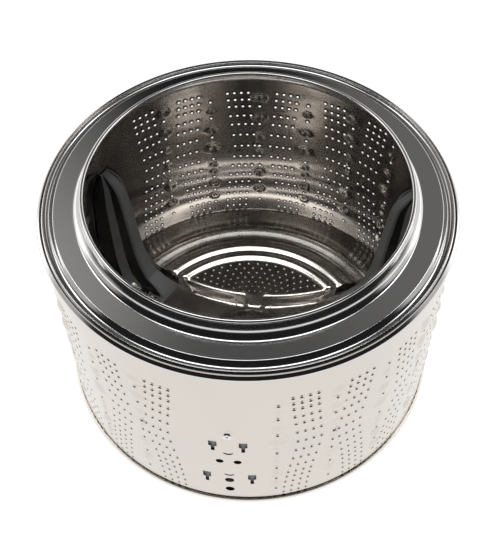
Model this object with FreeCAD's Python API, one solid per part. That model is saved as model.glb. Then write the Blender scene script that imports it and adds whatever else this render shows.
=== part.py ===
"""Wash drum of a front-loading washing machine, with its spider, shaft and bearing hub.

Shapes are drawn with z = 0 at the drum's rear seam and the mouth facing +Z. They are written
with the origin moved to the front face of the bearing hub's flange, on the drum's axis.
"""
import FreeCAD, Part
import math
import os

# ---- driving dimensions, millimetres -------------------------------------------------
SEAM_R = 250.0            # over the rolled seams at both ends
SHELL_R = 246.0           # outside of the perforated shell
SHELL_SHEET = 0.6
END_SHEET = 0.8           # front ring and rear plate
FRONT_Z = 308.0           # flat face of the front ring
SHELL_TOP_Z = 306.0
SHELL_FOOT_Z = 1.0
MOUTH_LIP_R = 193.8       # centre of the rolled lip round the mouth
MOUTH_LIP_Z = 327.4
LIP_BEAD_R = 2.8

LIFTER_COUNT = 3
FIRST_LIFTER_DEG = -96.5  # polar angle of the first lifter
LIFTER_TOP_Z = 212.0
LIFTER_WALL = 2.5
LIFTER_SCREW_Z = 172.0
FOOT_GAP = 0.2              # clearance between a lifter's foot and the rear plate
LIFTER_HEEL_Z = 6.0         # underside of a lifter's heel, where it steps over the plate's rim

STAR_FLOOR_Z = -3.0       # inside face of the star-shaped recess that the spider lies against
STAR_HALF_WIDTH = 24.0
STAR_REACH = 238.0
STAR_CHORD = 74.0         # distance from the axis to the recess's straight sides

ARM_WIDTH = 34.0
ARM_REACH = 234.0
ARM_WALL = 5.0
SPIDER_HUB_R = 45.0
SPIDER_BACK_Z = -50.0
ARM_TIP_Z = -19.0
ARM_BOLT_R = 222.0
ARM_BOLT_SPREAD = 10.0
BOLT_R = 4.0
BOLT_HOLE_R = 4.3
WASHER_THICKNESS = 1.6

SHAFT_PRESS_R = 17.0
SHAFT_TOP_Z = -6.0
SLEEVE_R = 20.0
PULLEY_SEAT_R = 11.0
SHAFT_END_Z = -190.0
END_THREAD_R = 3.4
END_THREAD_DEPTH = 25.0

FLANGE_FACE_Z = -88.0     # the origin of the finished part
FLANGE_R = 95.0
FLANGE_THICKNESS = 10.0
FLANGE_BOLTS = 6
FLANGE_BOLT_CIRCLE_R = 80.0
FLANGE_BOLT_HOLE_R = 4.25
HUB_FRONT_Z = -58.0
HUB_BACK_Z = -152.0
BARREL_R = 42.0
WEB_BORE_R = 22.0         # between the two bearing pockets
SEAL_POCKET_R = 34.0
SEAL_DEPTH = 10.0
LIP_CLEARANCE = 0.06      # radial, seal lip on the turning sleeve
RUNNING_GAP = 0.3         # between bodies that turn past each other
CAGE_EDGE = 1.4           # cage metal above and below a ball

# name: (bore radius, outer radius, width, front face z, ball radius, ball count)
BEARINGS = {
    "front_bearing": (15.0, 31.0, 16.0, -70.0, 4.7625, 9),
    "rear_bearing": (12.5, 26.0, 15.0, -130.0, 3.969, 9),
}

AXIS = FreeCAD.Vector(0, 0, 1)
ORIGIN = FreeCAD.Vector(0, 0, 0)


# ---- helpers ---------------------------------------------------------------------------
def tube(outer_r, inner_r, low_z, high_z):
    """Round tube about the drum's axis."""
    outer = Part.makeCylinder(outer_r, high_z - low_z, FreeCAD.Vector(0, 0, low_z))
    inner = Part.makeCylinder(inner_r, high_z - low_z + 2, FreeCAD.Vector(0, 0, low_z - 1))
    return outer.cut(inner)


def turned(profile):
    """Solid of revolution from a closed outline of (radius, z) points."""
    points = [FreeCAD.Vector(r, 0, z) for r, z in profile]
    wire = Part.makePolygon(points + points[:1])
    return Part.Face(wire).revolve(ORIGIN, AXIS, 360)


def sheet_outline(path, thickness):
    """Closed outline of a sheet that lies on the right-hand side of an open (radius, z) path."""
    normals = []
    for (r0, z0), (r1, z1) in zip(path, path[1:]):
        length = math.hypot(r1 - r0, z1 - z0)
        normals.append(((z1 - z0) / length, -(r1 - r0) / length))
    back = []
    for index, (r, z) in enumerate(path):
        before = normals[max(index - 1, 0)]
        after = normals[min(index, len(normals) - 1)]
        nr, nz = before[0] + after[0], before[1] + after[1]
        scale = 2 * thickness / (nr * nr + nz * nz)
        back.append((max(r + nr * scale, 0.0), z + nz * scale))
    return path + back[::-1]


def around(shape, count, start_deg=0.0):
    """Copies of a shape at equal angles about the drum's axis."""
    copies = []
    for index in range(count):
        copy = shape.copy()
        copy.rotate(ORIGIN, AXIS, start_deg + index * 360.0 / count)
        copies.append(copy)
    return copies


def at_lifters(shape):
    """Copies of a shape drawn on the +X axis, one at each lifter's angle."""
    return around(shape, LIFTER_COUNT, FIRST_LIFTER_DEG)


def joined(shapes):
    """One fused shape with its seams cleaned."""
    result = shapes[0].multiFuse(shapes[1:]) if len(shapes) > 1 else shapes[0]
    return result.removeSplitter()


def box(low, high):
    """Axis-aligned box between two corners."""
    size = [b - a for a, b in zip(low, high)]
    return Part.makeBox(*size, FreeCAD.Vector(*low))


def upright(radius, x, y, low_z, high_z):
    """Cylinder that stands along z."""
    return Part.makeCylinder(radius, high_z - low_z, FreeCAD.Vector(x, y, low_z))


def through_wall(radius, side, z):
    """Radial cylinder that crosses the shell near the +X axis."""
    start = FreeCAD.Vector(SHELL_R - 12, side, z)
    return Part.makeCylinder(radius, 24, start, FreeCAD.Vector(1, 0, 0))


# ---- sheet-metal drum ------------------------------------------------------------------
def key_slot(side, top_z, bottom_z):
    """Keyhole slot that a lifter's hook drops into: a wide window over a narrow neck."""
    window = box((SHELL_R - 12, side - 5, (top_z + bottom_z) / 2), (SHELL_R + 12, side + 5, top_z))
    neck = box((SHELL_R - 12, side - 2.2, bottom_z), (SHELL_R + 12, side + 2.2, top_z - 1))
    return window.fuse(neck)


def drum_shell():
    """Perforated cylinder's sheet, with the holes that hold the lifters."""
    shell = tube(SHELL_R, SHELL_R - SHELL_SHEET, SHELL_FOOT_Z, SHELL_TOP_Z)
    cuts = [through_wall(2.6, 0, LIFTER_SCREW_Z)]
    for sign in (-1, 1):
        cuts.append(key_slot(sign * 18, 155, 132))
        cuts.append(key_slot(sign * 28, 72, 47))
    return shell.cut(joined([piece for cut in cuts for piece in at_lifters(cut)]))


def front_ring():
    """Front cover ring: rolled seam, groove, flat face, bead, raised neck and curled lip."""
    path = [
        (SEAM_R, 300.5), (SEAM_R, 306.6), (248.6, FRONT_Z), (244.4, FRONT_Z), (243.4, 304.2),
        (241.2, 301.6), (238.0, 302.6), (236.4, 306.4), (234.0, FRONT_Z), (204.4, FRONT_Z),
        (203.0, 310.4), (200.4, 311.0), (198.8, 316.0), (197.0, 323.0),
        (MOUTH_LIP_R + 1.6, MOUTH_LIP_Z),
    ]
    sheet = turned(sheet_outline(path[::-1], END_SHEET))
    lip = Part.makeTorus(MOUTH_LIP_R, LIP_BEAD_R, FreeCAD.Vector(0, 0, MOUTH_LIP_Z), AXIS)
    return sheet.fuse(lip)


# Upper side of the rear plate's raised fields, (radius, height).
PLATE_FIELDS = [
    (0.0, 10.0), (134.0, 10.0), (139.0, 11.0), (143.0, 13.2), (149.0, 13.2), (154.0, 10.6),
    (158.0, 13.4), (165.0, 14.0), (171.0, 12.0), (177.0, 8.6), (185.0, 8.0), (193.0, 10.4),
    (199.0, 12.4), (206.0, 12.4), (213.0, 9.0), (222.0, 6.4), (234.0, 4.4), (241.0, 3.4),
    (244.0, 2.0),
]


def star_prism(margin, low_z, high_z):
    """Prism over the star-shaped recess, drawn in from its outline by a margin."""
    height = high_z - low_z
    corner_r = 2 * (STAR_CHORD - margin)
    corners = []
    for index in range(LIFTER_COUNT):
        angle = math.radians(FIRST_LIFTER_DEG + index * 360.0 / LIFTER_COUNT)
        corners.append(FreeCAD.Vector(corner_r * math.cos(angle), corner_r * math.sin(angle), low_z))
    middle = Part.Face(Part.makePolygon(corners + corners[:1])).extrude(AXIS * height)
    half = STAR_HALF_WIDTH - margin
    arm = box((0, -half, low_z), (STAR_REACH - margin, half, high_z))
    return joined([middle] + at_lifters(arm))


def rear_plate():
    """Rear wall: rolled seam, raised fields with ring ridges, and a star recess for the spider."""
    rim_r = SEAM_R - END_SHEET
    under = STAR_FLOOR_Z - END_SHEET
    fields = PLATE_FIELDS
    rim = [(244.0, END_SHEET), (rim_r, END_SHEET), (rim_r, 6.0)]
    plate = turned(sheet_outline(fields + rim, END_SHEET))
    pressed = plate.cut(star_prism(0, under - 1, 20))
    floor = star_prism(0, under, STAR_FLOOR_Z)
    walls = star_prism(0, under, 20).cut(star_prism(END_SHEET, under - 1, 21))
    below_fields = turned(fields + [(244.0, under), (0.0, under)])
    holes = []
    for sign in (-1, 1):
        holes += at_lifters(upright(BOLT_HOLE_R, ARM_BOLT_R, sign * ARM_BOLT_SPREAD, -12, 12))
    return joined([pressed, floor, walls.common(below_fields)]).cut(joined(holes))


def plate_form(gap):
    """Solid under the raised fields, grown by a gap, that a lifter's foot has to clear."""
    top = [(r, z + gap) for r, z in PLATE_FIELDS] + [(SEAM_R, 2.0 + gap)]
    form = turned(top + [(SEAM_R, -20.0), (0.0, -20.0)])
    return form.cut(star_prism(END_SHEET + gap, -21, 30))


# ---- lifters ---------------------------------------------------------------------------
def lifter_section(z, crest_r, foot_half, crest_half, inset):
    """Closed outline of a lifter at one height, drawn on the +X axis."""
    wall_r = SEAM_R + 5
    shoulder_r = crest_r + 6
    half_c = crest_half - inset * 0.6
    half_f = foot_half - inset
    points = [
        (wall_r, -half_f), (SHELL_R - 6, -half_f), (shoulder_r + inset, -half_c - 2),
        (crest_r + inset, -half_c + 3), (crest_r + inset, half_c - 3),
        (shoulder_r + inset, half_c + 2), (SHELL_R - 6, half_f), (wall_r, half_f),
    ]
    vectors = [FreeCAD.Vector(x, y, z) for x, y in points]
    return Part.makePolygon(vectors + vectors[:1])


def lifter_block(inset):
    """Solid form of a lifter, or of its hollow when it is drawn in by the wall."""
    low = STAR_FLOOR_Z + 0.3
    sections = [
        (low - inset, 158.0, 41.5, 13.0), (low + 12, 178.0, 41.0, 11.5),
        (low + 40, 193.0, 39.5, 10.0), (108.0, 203.0, 36.0, 9.0), (160.0, 211.0, 31.0, 8.5),
        (190.0, 221.0, 26.0, 8.0), (LIFTER_TOP_Z - inset, 240.0, 16.0, 6.5),
    ]
    wires = [lifter_section(*section, inset) for section in sections]
    block = Part.makeLoft(wires, True, True)
    inside = Part.makeCylinder(SHELL_R - SHELL_SHEET - 0.2, 400)
    return block.common(inside)


def lifter():
    """Hollow moulded paddle, open towards the drum's wall and floor, with a screw boss."""
    shell = lifter_block(0).cut(lifter_block(LIFTER_WALL))
    boss = Part.makeCylinder(5.5, 34, FreeCAD.Vector(210, 0, LIFTER_SCREW_Z), FreeCAD.Vector(1, 0, 0))
    boss = boss.common(lifter_block(0))
    pilot = Part.makeCylinder(2.0, 20, FreeCAD.Vector(226, 0, LIFTER_SCREW_Z), FreeCAD.Vector(1, 0, 0))
    rib_box = box((205, -40, 86), (SHELL_R, 40, 88.5))
    rib = rib_box.common(lifter_block(0))
    over_rim = box((STAR_REACH - 1.6, -60, -10), (SEAM_R, 60, LIFTER_HEEL_Z))
    return joined([shell, boss, rib]).cut(joined([pilot, over_rim])).cut(plate_form(FOOT_GAP))


def lifter_screws():
    """One pan-head screw through the shell into each lifter's boss."""
    out = FreeCAD.Vector(1, 0, 0)
    head = Part.makeCylinder(5.0, 2.6, FreeCAD.Vector(SHELL_R, 0, LIFTER_SCREW_Z), out)
    shank = Part.makeCylinder(2.0, 18, FreeCAD.Vector(SHELL_R - 18, 0, LIFTER_SCREW_Z), out)
    recess = Part.makeCylinder(1.6, 2, FreeCAD.Vector(SHELL_R + 1.2, 0, LIFTER_SCREW_Z), out)
    return Part.makeCompound(at_lifters(head.fuse(shank).cut(recess)))


# ---- spider and its fixings ------------------------------------------------------------
def spider():
    """Cast three-armed spider: hub, tapering channel arms with ribs, and bolt bosses."""
    top = STAR_FLOOR_Z - END_SHEET
    outline = [
        (0, top), (ARM_REACH, top), (ARM_REACH, ARM_TIP_Z + 2), (ARM_REACH - 22, ARM_TIP_Z),
        (70, SPIDER_BACK_Z + 6),
        (SPIDER_HUB_R, SPIDER_BACK_Z), (0, SPIDER_BACK_Z),
    ]
    points = [FreeCAD.Vector(x, -ARM_WIDTH / 2, z) for x, z in outline]
    arm = Part.Face(Part.makePolygon(points + points[:1])).extrude(FreeCAD.Vector(0, ARM_WIDTH, 0))
    half = ARM_WIDTH / 2 - ARM_WALL
    for start, end in ((54, 92), (97, 138), (143, 200)):
        arm = arm.cut(box((start, -half, -60), (end, half, top - ARM_WALL)))
    hub = upright(SPIDER_HUB_R, 0, 0, SPIDER_BACK_Z, top)
    collar = upright(30, 0, 0, SPIDER_BACK_Z - 5, SPIDER_BACK_Z + 1)
    body = joined([hub, collar] + at_lifters(arm))
    cuts = [upright(SHAFT_PRESS_R, 0, 0, SPIDER_BACK_Z - 10, SHAFT_TOP_Z)]
    for sign in (-1, 1):
        cuts += at_lifters(upright(BOLT_HOLE_R, ARM_BOLT_R, sign * ARM_BOLT_SPREAD, -30, 12))
    return body.cut(joined(cuts))


def on_arm_bolts(shape):
    """Copies of a shape drawn about the z axis, one at each bolt of each arm."""
    copies = []
    for sign in (-1, 1):
        placed = shape.copy()
        placed.translate(FreeCAD.Vector(ARM_BOLT_R, sign * ARM_BOLT_SPREAD, 0))
        copies += at_lifters(placed)
    return Part.makeCompound(copies)


def hexagon(across_flats, low_z, high_z):
    """Hexagonal prism about the z axis."""
    radius = across_flats / math.sqrt(3)
    points = []
    for index in range(6):
        angle = math.radians(60 * index)
        points.append(FreeCAD.Vector(radius * math.cos(angle), radius * math.sin(angle), low_z))
    return Part.Face(Part.makePolygon(points + points[:1])).extrude(AXIS * (high_z - low_z))


def spider_bolts():
    """Hexagon bolts from behind the arms' tips, up into the nut plates."""
    seat = ARM_TIP_Z - WASHER_THICKNESS
    head = hexagon(13.0, seat - 5.3, seat)
    shank = upright(BOLT_R, 0, 0, seat - 1, STAR_FLOOR_Z + 5)
    return on_arm_bolts(head.fuse(shank))


def spider_washers():
    """Flat washers between the bolt heads and the arms' tips."""
    return on_arm_bolts(tube(8.0, BOLT_HOLE_R, ARM_TIP_Z - WASHER_THICKNESS, ARM_TIP_Z))


def nut_plates():
    """Threaded plates inside the drum, hidden under the lifters' feet."""
    plate = box((211, -19, STAR_FLOOR_Z), (233, 19, STAR_FLOOR_Z + 4))
    for sign in (-1, 1):
        plate = plate.cut(upright(BOLT_R, ARM_BOLT_R, sign * ARM_BOLT_SPREAD, 0, 20))
    return Part.makeCompound(at_lifters(plate))


# ---- shaft and bearings ----------------------------------------------------------------
def shaft():
    """Stepped steel shaft: press seat, two bearing seats, pulley seat and end thread."""
    front_bore, _, _, front_z, _, _ = BEARINGS["front_bearing"]
    rear_bore, _, rear_width, rear_z, _, _ = BEARINGS["rear_bearing"]
    seat_end = rear_z - rear_width - 2
    steps = [
        (0, SHAFT_TOP_Z), (SHAFT_PRESS_R, SHAFT_TOP_Z), (SHAFT_PRESS_R, front_z),
        (front_bore, front_z), (front_bore, rear_z), (rear_bore, rear_z), (rear_bore, seat_end),
        (PULLEY_SEAT_R, seat_end), (PULLEY_SEAT_R, SHAFT_END_Z + 1), (PULLEY_SEAT_R - 1, SHAFT_END_Z),
        (0, SHAFT_END_Z),
    ]
    thread = upright(END_THREAD_R, 0, 0, SHAFT_END_Z - 1, SHAFT_END_Z + END_THREAD_DEPTH)
    return turned(steps).cut(thread)


def seal_sleeve():
    """Hard sleeve on the shaft that the seal's lip runs on."""
    return tube(SLEEVE_R, SHAFT_PRESS_R, -69.5, SPIDER_BACK_Z - 5)


def bearing_sizes(name):
    """Pitch radius, land radii and middle height of a ball bearing."""
    bore, outer, width, top_z, ball_r, _ = BEARINGS[name]
    pitch = (bore + outer) / 2
    return pitch, pitch - ball_r * 0.45, pitch + ball_r * 0.45, top_z - width / 2


def bearing_ring(name, inner):
    """Inner or outer ring of a ball bearing, with its raceway groove."""
    bore, outer, width, top_z, ball_r, _ = BEARINGS[name]
    pitch, inner_land, outer_land, middle = bearing_sizes(name)
    low, high = (bore, inner_land) if inner else (outer_land, outer)
    groove = Part.makeTorus(pitch, ball_r + RUNNING_GAP, FreeCAD.Vector(0, 0, middle), AXIS)
    return tube(high, low, top_z - width, top_z).cut(groove)


def bearing_balls(name):
    """The row of balls of one bearing."""
    _, _, _, _, ball_r, count = BEARINGS[name]
    pitch, _, _, middle = bearing_sizes(name)
    ball = Part.makeSphere(ball_r, FreeCAD.Vector(pitch, 0, middle))
    return Part.makeCompound(around(ball, count))


def bearing_cage(name):
    """Ribbon cage that spaces the balls."""
    _, _, _, _, ball_r, count = BEARINGS[name]
    pitch, _, _, middle = bearing_sizes(name)
    half = ball_r + CAGE_EDGE
    ribbon = tube(pitch + 0.9, pitch - 0.9, middle - half, middle + half)
    out = FreeCAD.Vector(1, 0, 0)
    pocket = Part.makeCylinder(ball_r + RUNNING_GAP, 6, FreeCAD.Vector(pitch - 3, 0, middle), out)
    return ribbon.cut(joined(around(pocket, count)))


def bearing_shields(name):
    """The two closing shields, held in the outer ring."""
    _, _, width, top_z, _, _ = BEARINGS[name]
    _, inner_land, outer_land, _ = bearing_sizes(name)
    front = tube(outer_land, inner_land + RUNNING_GAP, top_z - 1.4, top_z - 0.6)
    back = tube(outer_land, inner_land + RUNNING_GAP, top_z - width + 0.6, top_z - width + 1.4)
    return Part.makeCompound([front, back])


def shaft_seal():
    """Rubber lip seal pressed into the hub's mouth."""
    lip_r = SLEEVE_R + LIP_CLEARANCE
    top = HUB_FRONT_Z - 0.5
    profile = [
        (SEAL_POCKET_R, top), (SEAL_POCKET_R, top - SEAL_DEPTH), (31.5, top - SEAL_DEPTH),
        (31.5, top - 2.5), (25.0, top - 2.5), (22.4, top - 8.0), (lip_r, top - 6.2),
        (lip_r, top - 5.2), (21.6, top - 3.0), (lip_r, top - 0.8), (lip_r, top),
    ]
    return turned(profile)


def bearing_hub():
    """Cast bearing hub: flange with bolt holes, barrel, ribs and the bearings' pockets."""
    _, front_outer, front_width, front_z, _, _ = BEARINGS["front_bearing"]
    _, rear_outer, _, rear_z, _, _ = BEARINGS["rear_bearing"]
    flange = upright(FLANGE_R, 0, 0, FLANGE_FACE_Z - FLANGE_THICKNESS, FLANGE_FACE_Z)
    barrel = upright(BARREL_R, 0, 0, HUB_BACK_Z, HUB_FRONT_Z)
    rib_points = [(36, FLANGE_FACE_Z - 5), (88, FLANGE_FACE_Z - 5), (88, FLANGE_FACE_Z - 12),
                  (46, HUB_BACK_Z + 8), (36, HUB_BACK_Z + 8)]
    vectors = [FreeCAD.Vector(x, -3, z) for x, z in rib_points]
    rib = Part.Face(Part.makePolygon(vectors + vectors[:1])).extrude(FreeCAD.Vector(0, 6, 0))
    body = joined([flange, barrel] + around(rib, FLANGE_BOLTS, 30))
    cuts = [
        upright(SEAL_POCKET_R, 0, 0, HUB_FRONT_Z - SEAL_DEPTH - 0.5, HUB_FRONT_Z + 1),
        upright(front_outer, 0, 0, front_z - front_width, front_z + 5),
        upright(WEB_BORE_R, 0, 0, HUB_BACK_Z - 1, front_z),
        upright(rear_outer, 0, 0, HUB_BACK_Z - 1, rear_z),
    ]
    cuts += around(upright(FLANGE_BOLT_HOLE_R, FLANGE_BOLT_CIRCLE_R, 0, -110, -80), FLANGE_BOLTS)
    return body.cut(joined(cuts))


# ---- all the pieces --------------------------------------------------------------------
def pieces():
    """Every sub-part of the assembly by name."""
    made = {
        "drum_shell": drum_shell(),
        "front_ring": front_ring(),
        "rear_plate": rear_plate(),
        "lifter_screws": lifter_screws(),
        "spider": spider(),
        "spider_bolts": spider_bolts(),
        "spider_washers": spider_washers(),
        "nut_plates": nut_plates(),
        "shaft": shaft(),
        "seal_sleeve": seal_sleeve(),
        "shaft_seal": shaft_seal(),
        "bearing_hub": bearing_hub(),
    }
    for number, copy in enumerate(at_lifters(lifter()), start=1):
        made["lifter_%d" % number] = copy
    for name in BEARINGS:
        made[name + "_inner_ring"] = bearing_ring(name, True)
        made[name + "_outer_ring"] = bearing_ring(name, False)
        made[name + "_balls"] = bearing_balls(name)
        made[name + "_cage"] = bearing_cage(name)
        made[name + "_shields"] = bearing_shields(name)
    return made


os.makedirs("parts", exist_ok=True)
for node, shape in pieces().items():
    shape.translate(FreeCAD.Vector(0, 0, -FLANGE_FACE_Z))
    shape.exportStep(os.path.join("parts", node + ".step"))
    print("%-28s solids %2d  valid %s  volume %.0f mm3" % (node, len(shape.Solids), shape.isValid(),
                                                           shape.Volume))
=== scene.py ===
"""Looks of a front-loading washer's drum: punched shell, rolled ends, lifters and drive parts."""
import logging
import math
from collections.abc import Iterable
from dataclasses import dataclass, field
from enum import Enum

import bmesh
import bpy
import numpy as np
from mathutils import Matrix, Vector
from mathutils.kdtree import KDTree


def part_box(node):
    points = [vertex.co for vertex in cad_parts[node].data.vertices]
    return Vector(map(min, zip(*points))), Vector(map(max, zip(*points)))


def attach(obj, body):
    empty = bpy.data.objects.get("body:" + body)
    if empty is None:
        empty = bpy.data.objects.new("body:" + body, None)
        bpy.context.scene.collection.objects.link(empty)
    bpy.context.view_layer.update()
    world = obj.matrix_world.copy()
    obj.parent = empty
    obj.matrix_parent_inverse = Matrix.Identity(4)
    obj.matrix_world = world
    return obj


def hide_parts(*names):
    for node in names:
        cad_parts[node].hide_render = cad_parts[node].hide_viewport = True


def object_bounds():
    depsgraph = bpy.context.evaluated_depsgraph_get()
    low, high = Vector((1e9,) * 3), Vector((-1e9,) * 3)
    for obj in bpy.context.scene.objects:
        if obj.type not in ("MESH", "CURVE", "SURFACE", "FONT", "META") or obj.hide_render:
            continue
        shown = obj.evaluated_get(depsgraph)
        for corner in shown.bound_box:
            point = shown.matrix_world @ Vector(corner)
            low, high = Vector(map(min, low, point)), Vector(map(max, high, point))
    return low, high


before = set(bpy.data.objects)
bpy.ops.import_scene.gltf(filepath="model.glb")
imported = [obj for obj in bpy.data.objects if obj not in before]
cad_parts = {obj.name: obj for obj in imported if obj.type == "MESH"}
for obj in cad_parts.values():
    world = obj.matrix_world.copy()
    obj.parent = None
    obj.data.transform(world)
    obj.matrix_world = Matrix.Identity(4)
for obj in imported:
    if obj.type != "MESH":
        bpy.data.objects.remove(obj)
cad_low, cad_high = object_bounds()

LOG = logging.getLogger("wash_drum")
MM = 0.001
LIFTERS = 3
LIFTER_PITCH = 2 * math.pi / LIFTERS
FIRST_LIFTER = math.radians(-96.5)
SEAM_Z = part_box("drum_shell")[0][2] - 1.0 * MM
SEAM_R = 250.0 * MM
SHELL_R = 246.0 * MM
RELIEF = 0.1 * MM

Point = tuple[float, float]


# ---- bench tools -----------------------------------------------------------------------
class Mode(Enum):
    """Blender's working modes."""

    OBJECT = "OBJECT"
    EDIT = "EDIT"


def go(mode: Mode) -> None:
    """Switches the active piece to a mode."""
    bpy.ops.object.mode_set(mode=mode.value)


def pick(*pieces: bpy.types.Object) -> None:
    """Selects only these pieces and makes the first one active.

    Args:
        pieces: the objects to select.
    """
    if bpy.context.mode != "OBJECT":
        go(Mode.OBJECT)
    bpy.ops.object.select_all(action="DESELECT")
    for piece in pieces:
        piece.select_set(True)
    bpy.context.view_layer.objects.active = pieces[0]


def newest(name: str) -> bpy.types.Object:
    """Names the primitive that was just added.

    Args:
        name: the piece's name.

    Returns:
        The new object.
    """
    piece = bpy.context.object
    piece.name = name
    piece.data.name = name
    return piece


def apply_modifier(piece: bpy.types.Object, kind: str, **settings: object) -> None:
    """Adds a modifier to a piece and applies it.

    Args:
        piece: the object to change.
        kind: Blender's modifier type.
        settings: the modifier's properties.
    """
    pick(piece)
    modifier = piece.modifiers.new(kind.title(), kind)
    for key, value in settings.items():
        setattr(modifier, key, value)
    bpy.ops.object.modifier_apply(modifier=modifier.name)


def join(pieces: list[bpy.types.Object], name: str) -> bpy.types.Object:
    """Joins pieces into one.

    Args:
        pieces: the objects to join.
        name: the joined piece's name.

    Returns:
        The joined object.
    """
    pick(*pieces)
    bpy.ops.object.join()
    return newest(name)


def settle(piece: bpy.types.Object, smooth_deg: float = 35.0) -> None:
    """Puts a piece's place into its mesh and smooths it up to an angle.

    Args:
        piece: the object to finish.
        smooth_deg: edges sharper than this stay sharp.
    """
    pick(piece)
    bpy.ops.object.transform_apply(location=True, rotation=True, scale=True)
    bpy.ops.object.shade_smooth_by_angle(angle=math.radians(smooth_deg))


def flip(piece: bpy.types.Object) -> None:
    """Turns every face of a piece the other way.

    Args:
        piece: the object to turn inside out.
    """
    pick(piece)
    go(Mode.EDIT)
    bpy.ops.mesh.select_all(action="SELECT")
    bpy.ops.mesh.flip_normals()
    go(Mode.OBJECT)


def arc(centre: Point, radius: float, start_deg: float, end_deg: float, steps: int) -> list[Point]:
    """Points along an arc, both ends included.

    Args:
        centre: the arc's centre.
        radius: its radius.
        start_deg: the first point's angle.
        end_deg: the last point's angle.
        steps: how many chords the arc has.

    Returns:
        The points in order.
    """
    points = []
    for step in range(steps + 1):
        angle = math.radians(start_deg + (end_deg - start_deg) * step / steps)
        points.append((centre[0] + radius * math.cos(angle), centre[1] + radius * math.sin(angle)))
    return points


def draw_line(name: str, points: list[Vector]) -> bpy.types.Object:
    """Draws a run of edges by extruding one vertex from point to point.

    Args:
        name: the piece's name.
        points: where the vertices go.

    Returns:
        The object, in object mode.
    """
    bpy.ops.object.select_all(action="DESELECT")
    bpy.ops.mesh.primitive_plane_add(size=MM, location=(0, 0, 0))
    piece = newest(name)
    go(Mode.EDIT)
    bpy.ops.mesh.select_mode(type="VERT")
    bpy.ops.mesh.select_all(action="SELECT")
    bpy.ops.mesh.merge(type="CENTER")
    bpy.ops.transform.translate(value=points[0])
    for before, after in zip(points, points[1:]):
        bpy.ops.mesh.extrude_region_move(TRANSFORM_OT_translate={"value": after - before})
    go(Mode.OBJECT)
    return piece


def spin_profile(name: str, profile: list[Point], steps: int) -> bpy.types.Object:
    """Turns an open profile about the drum's axis into a skin.

    Args:
        name: the piece's name.
        profile: (radius, height above the rear seam) in millimetres.
        steps: how many stations the turn has.

    Returns:
        The turned skin, with its doubles merged and its faces outwards.
    """
    points = [Vector((r * MM, 0, SEAM_Z + z * MM)) for r, z in profile]
    piece = draw_line(name, points)
    go(Mode.EDIT)
    bpy.ops.mesh.select_all(action="SELECT")
    bpy.ops.mesh.spin(steps=steps, angle=2 * math.pi, center=(0, 0, 0), axis=(0, 0, 1))
    bpy.ops.mesh.select_all(action="SELECT")
    bpy.ops.mesh.remove_doubles(threshold=1e-6)
    bpy.ops.mesh.normals_make_consistent(inside=False)
    go(Mode.OBJECT)
    return piece


def read_points(piece: bpy.types.Object) -> np.ndarray:
    """Reads a piece's vertices.

    Args:
        piece: the object to read.

    Returns:
        A row of three coordinates for each vertex.
    """
    points = np.empty(len(piece.data.vertices) * 3)
    piece.data.vertices.foreach_get("co", points)
    return points.reshape(-1, 3)


def write_points(piece: bpy.types.Object, points: np.ndarray) -> None:
    """Moves a piece's vertices.

    Args:
        piece: the object to change.
        points: a row of three coordinates for each vertex.
    """
    piece.data.vertices.foreach_set("co", points.reshape(-1))
    piece.data.update()


# ---- punching holes in a flat or turned skin -------------------------------------------
@dataclass(frozen=True)
class Hole:
    """A round hole with a drawn-up rim, in a block of two by two faces."""

    x: float
    y: float
    radius: float
    turn: float = 0.0


@dataclass(frozen=True)
class Rim:
    """A ring of the rim: its size against the hole, and its rise above the ring before it."""

    reach: float
    lift: float


RIM_RINGS = (Rim(2.1, 0.0), Rim(1.5, 0.75), Rim(1.0, 0.25))


def punch(piece: bpy.types.Object, blocks: list[int], holes: list[Hole], up: float) -> None:
    """Insets the picked faces into rimmed round holes and removes their middles.

    Args:
        piece: a skin that lies in x and y, with z as its height.
        blocks: indices of the faces to punch, four to a hole.
        holes: where the holes are and how large.
        up: rim height of a hole of unit radius; negative for rims on the low side.
    """
    tree = KDTree(len(holes))
    for index, hole in enumerate(holes):
        tree.insert((hole.x, hole.y, 0.0), index)
    tree.balance()
    pick(piece)
    go(Mode.EDIT)
    bpy.ops.mesh.select_mode(type="FACE")
    bpy.ops.mesh.select_all(action="DESELECT")
    sheet = bmesh.from_edit_mesh(piece.data)
    sheet.faces.ensure_lookup_table()
    for index in blocks:
        sheet.faces[index].select = True
    bmesh.update_edit_mesh(piece.data)
    for ring in RIM_RINGS:
        bpy.ops.mesh.inset(thickness=0.2 * MM, depth=0.0)
        sheet = bmesh.from_edit_mesh(piece.data)
        for vertex in (v for v in sheet.verts if v.select):
            _, index, _ = tree.find((vertex.co.x, vertex.co.y, 0.0))
            round_off(vertex, holes[index], ring, up)
        bmesh.update_edit_mesh(piece.data)
    bpy.ops.mesh.delete(type="FACE")
    go(Mode.OBJECT)


def round_off(vertex: bmesh.types.BMVert, hole: Hole, ring: Rim, up: float) -> None:
    """Draws one vertex of a square ring on to the hole's circle.

    Args:
        vertex: a vertex of the ring, or the block's middle.
        hole: the hole that the ring goes round.
        ring: the ring's size and height.
        up: rim height of a hole of unit radius.
    """
    dx, dy = vertex.co.x - hole.x, vertex.co.y - hole.y
    side = dx * math.cos(hole.turn) + dy * math.sin(hole.turn)
    rise = -dx * math.sin(hole.turn) + dy * math.cos(hole.turn)
    largest = max(abs(side), abs(rise))
    if largest < 0.25 * MM:
        return
    step_x = 0 if abs(side) < 0.4 * largest else math.copysign(1, side)
    step_y = 0 if abs(rise) < 0.4 * largest else math.copysign(1, rise)
    angle = math.atan2(step_y, step_x) + hole.turn
    reach = hole.radius * ring.reach
    vertex.co.x = hole.x + reach * math.cos(angle)
    vertex.co.y = hole.y + reach * math.sin(angle)
    vertex.co.z += ring.lift * up * hole.radius


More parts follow.
